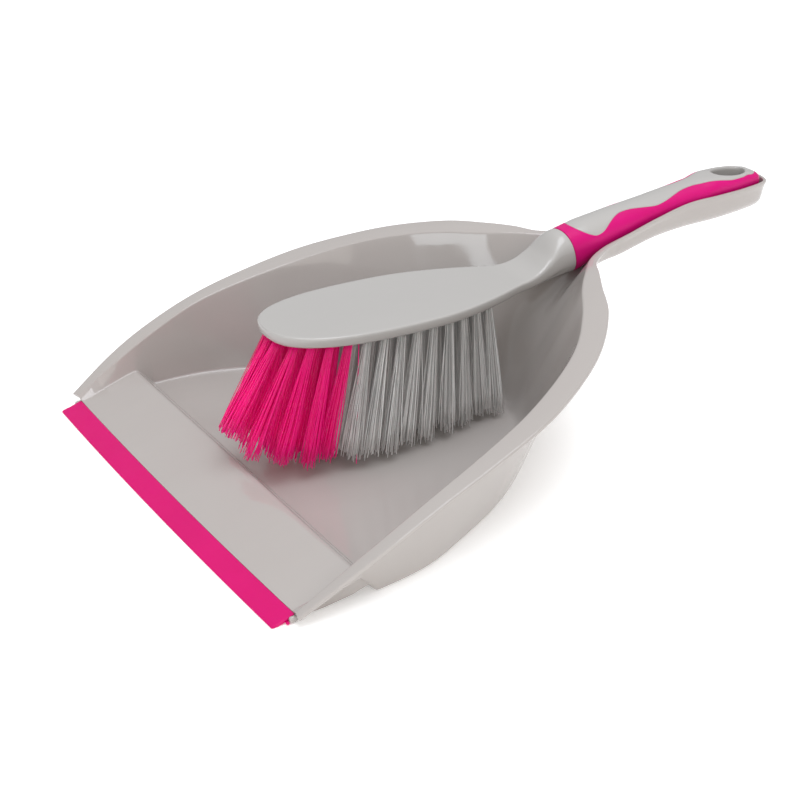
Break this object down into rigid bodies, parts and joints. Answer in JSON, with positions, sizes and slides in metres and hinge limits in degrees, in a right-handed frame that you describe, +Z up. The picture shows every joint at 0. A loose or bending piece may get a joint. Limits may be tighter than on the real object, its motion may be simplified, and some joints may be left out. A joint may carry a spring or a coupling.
{
  "type": "dustpan and brush",
  "caption": "Hand dustpan with a soft lip, a ramp and a trough handle, and a tufted hand brush that rests in the trough.",
  "frame": {"origin": "middle of the set's footprint, on the surface that the pan stands on", "axes": "+Z up, +Y from the lip to the end of the handle, +X to the right of someone who holds the handle"},
  "size_m": [0.2332, 0.3502, 0.0921],
  "materials": {
    "pan_plastic": "glossy moulded polypropylene, warm light grey",
    "lip_rubber": "satin soft rubber, bright pink",
    "brush_plastic": "satin moulded plastic, neutral light grey",
    "grip_rubber": "matt soft rubber, bright pink",
    "bright_bristle": "bright pink filament",
    "grey_bristle": "grey filament",
    "anchor_steel": "drawn flat wire"
  },
  "bodies": {
    "pan": {"pan_body": "pan_plastic", "lip_strip": "lip_rubber"},
    "brush": {"brush_core": "brush_plastic", "brush_grip": "grip_rubber", "tuft_anchors": "anchor_steel", "tuft_row_01": "bright_bristle", "tuft_row_02": "bright_bristle", "tuft_row_03": "bright_bristle", "tuft_row_04": "bright_bristle", "tuft_row_05": "bright_bristle", "tuft_row_06": "grey_bristle", "tuft_row_07": "grey_bristle", "tuft_row_08": "grey_bristle", "tuft_row_09": "grey_bristle", "tuft_row_10": "grey_bristle", "tuft_row_11": "grey_bristle", "tuft_row_12": "grey_bristle", "tuft_row_13": "grey_bristle", "tuft_row_14": "grey_bristle", "tuft_row_15": "grey_bristle"}
  },
  "joints": [
    {"name": "brush_lift", "type": "slide", "parent": "pan", "child": "brush", "axis": [0, 0, 1], "range_m": [0, 0.16]}
  ]
}
